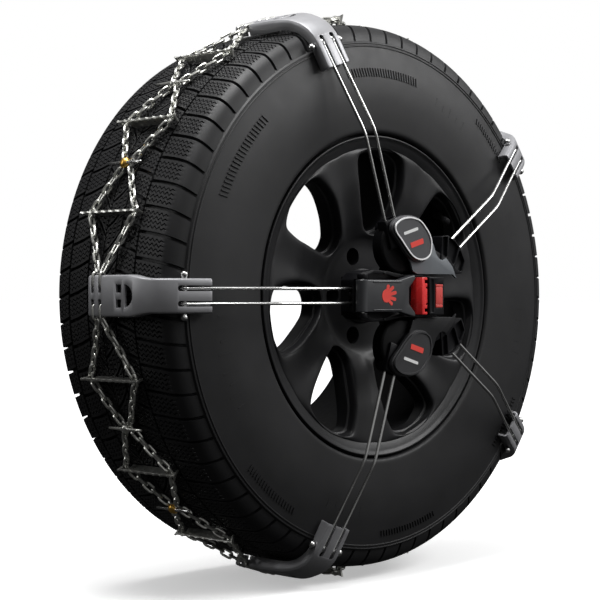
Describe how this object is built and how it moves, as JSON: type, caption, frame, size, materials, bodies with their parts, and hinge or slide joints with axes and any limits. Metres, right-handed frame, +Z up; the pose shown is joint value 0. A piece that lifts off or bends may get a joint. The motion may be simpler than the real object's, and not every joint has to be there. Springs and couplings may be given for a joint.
{
  "type": "wheel with snow chain",
  "caption": "Van wheel wearing a front-mounted steel snow chain: bent arm plates, spring-rod arms, a bladed tread net and a central hand-lever tensioner.",
  "frame": {"origin": "the wheel's centre: on the axle line, midway across the tread", "axes": "+Y along the axle line towards the vehicle, so that the outer face with the tensioner looks along -Y; +Z up; -X points along the arm that the hand lever lies in line with"},
  "size_m": [0.7455, 0.3125, 0.7396],
  "materials": {
    "tyre_rubber": "matt moulded rubber",
    "wheel_black": "satin black lacquer",
    "cap_black": "satin",
    "valve_rubber": "matt",
    "plate_steel": "satin grey zinc",
    "bright_steel": "bright drawn wire",
    "chain_steel": "bright zinc",
    "brass_finish": "yellow passivated",
    "housing_black": "satin moulded",
    "wing_grey": "satin grey",
    "badge_grey": "fine grain with a bright rim",
    "lever_black": "satin moulded",
    "signal_red": "gloss"
  },
  "bodies": {
    "wheel_and_chain": {"tyre": "tyre_rubber", "alloy_wheel": "wheel_black", "centre_cap": "cap_black", "valve_stem": "valve_rubber", "arm_plate_1": "plate_steel", "arm_pin_1": "bright_steel", "arm_rod_1": "bright_steel", "tread_chain_1": "chain_steel", "brass_cross_1": "brass_finish", "arm_plate_2": "plate_steel", "arm_pin_2": "bright_steel", "arm_rod_2": "bright_steel", "tread_chain_2": "chain_steel", "brass_cross_2": "brass_finish", "arm_plate_3": "plate_steel", "arm_pin_3": "bright_steel", "arm_rod_3": "bright_steel", "tread_chain_3": "chain_steel", "brass_cross_3": "brass_finish", "arm_plate_4": "plate_steel", "arm_pin_4": "bright_steel", "arm_rod_4": "bright_steel", "tread_chain_4": "chain_steel", "brass_cross_4": "brass_finish", "arm_plate_5": "plate_steel", "arm_pin_5": "bright_steel", "arm_rod_5": "bright_steel", "tread_chain_5": "chain_steel", "brass_cross_5": "brass_finish", "grip_blade_1": "chain_steel", "grip_blade_2": "chain_steel", "grip_blade_3": "chain_steel", "grip_blade_4": "chain_steel", "grip_blade_5": "chain_steel", "grip_blade_6": "chain_steel", "grip_blade_7": "chain_steel", "grip_blade_8": "chain_steel", "grip_blade_9": "chain_steel", "grip_blade_10": "chain_steel", "grip_blade_11": "chain_steel", "grip_blade_12": "chain_steel", "grip_blade_13": "chain_steel", "grip_blade_14": "chain_steel", "grip_blade_15": "chain_steel", "spine_housing": "housing_black", "upper_side_housing": "housing_black", "lower_side_housing": "housing_black", "upper_wing": "wing_grey", "lower_wing": "wing_grey", "upper_badge": "badge_grey", "lower_badge": "badge_grey", "back_plate": "plate_steel", "lever_pin": "bright_steel", "ratchet_bar": "plate_steel", "latch_frame": "housing_black"},
    "lever": {"tension_lever": "lever_black"},
    "pawl": {"drive_pawl": "bright_steel"},
    "latch": {"release_latch": "signal_red"},
    "button": {"lock_button": "signal_red"},
    "valve_cap_body": {"valve_cap": "cap_black"}
  },
  "joints": [
    {"name": "lever_swing", "type": "hinge", "parent": "wheel_and_chain", "child": "lever", "pos_m": [-0.097, -0.18, 0], "axis": [0, 0, -1], "range_deg": [0, 105]},
    {"name": "pawl_swing", "type": "hinge", "parent": "lever", "child": "pawl", "pos_m": [-0.06, -0.1784, 0], "axis": [0, 0, -1], "range_deg": [0, 12], "stiffness_Nm_per_rad": 0.02, "springref_deg": -5.73},
    {"name": "latch_press", "type": "slide", "parent": "wheel_and_chain", "child": "latch", "axis": [0, 1, 0], "range_m": [0, 0.0035], "stiffness_N_per_m": 400, "springref_m": -0.001},
    {"name": "button_press", "type": "slide", "parent": "wheel_and_chain", "child": "button", "axis": [0, 1, 0], "range_m": [0, 0.0025], "stiffness_N_per_m": 300, "springref_m": -0.001},
    {"name": "valve_cap_spin", "type": "hinge", "parent": "wheel_and_chain", "child": "valve_cap_body", "pos_m": [0.13624, -0.11004, 0.10416], "axis": [-0.3972, -0.866, -0.3037], "continuous": true}
  ]
}
